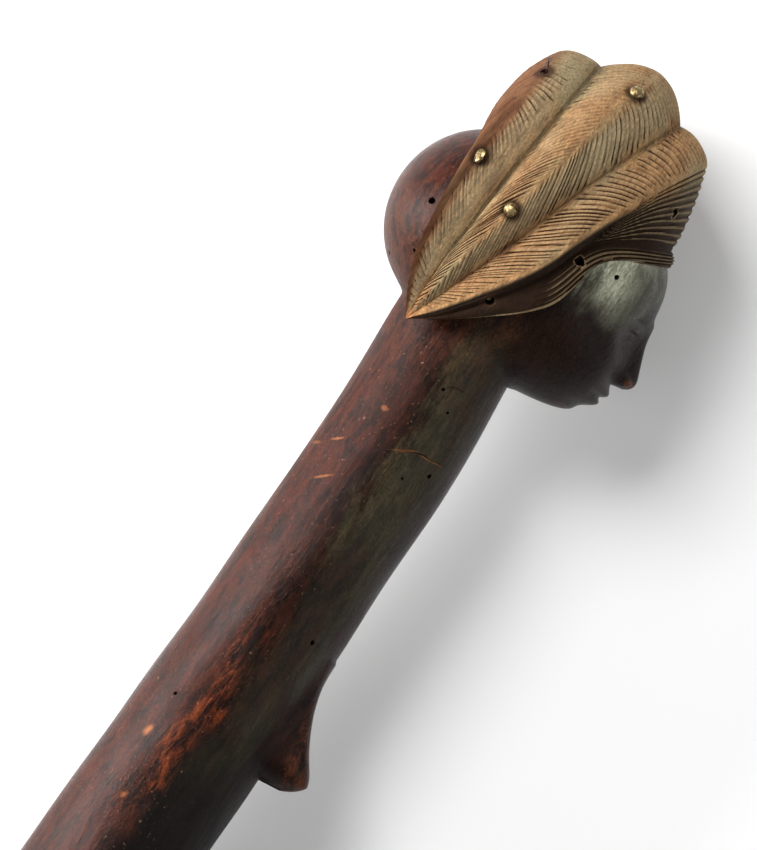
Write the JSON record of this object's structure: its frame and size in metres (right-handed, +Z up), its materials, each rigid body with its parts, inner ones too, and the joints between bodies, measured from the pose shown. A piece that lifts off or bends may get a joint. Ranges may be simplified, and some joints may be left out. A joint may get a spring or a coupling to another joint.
{
  "type": "hand sceptre",
  "caption": "Carved wooden hand sceptre: a round shaft with a hooked lug, ending in a head with a ribbed coiffure set with brass tacks; it lies on its side.",
  "frame": {"origin": "middle of the bounding box, on the surface that the sceptre lies on", "axes": "+X along the sceptre towards the head, +Y towards the back of the head, +Z up out of its right side"},
  "size_m": [0.4402, 0.0878, 0.0686],
  "materials": {
    "wood": "dark hardwood, handled to a polish on the shaft and face, dry and dusty in the coiffure's cuts",
    "brass": "dull old brass"
  },
  "bodies": {
    "root": {"sceptre_carving": "wood", "tack_right_crown": "brass", "tack_right_middle": "brass", "tack_right_back": "brass", "tack_left_crown": "brass", "shank_right_back": "brass", "shank_right_front": "brass"}
  },
  "joints": []
}
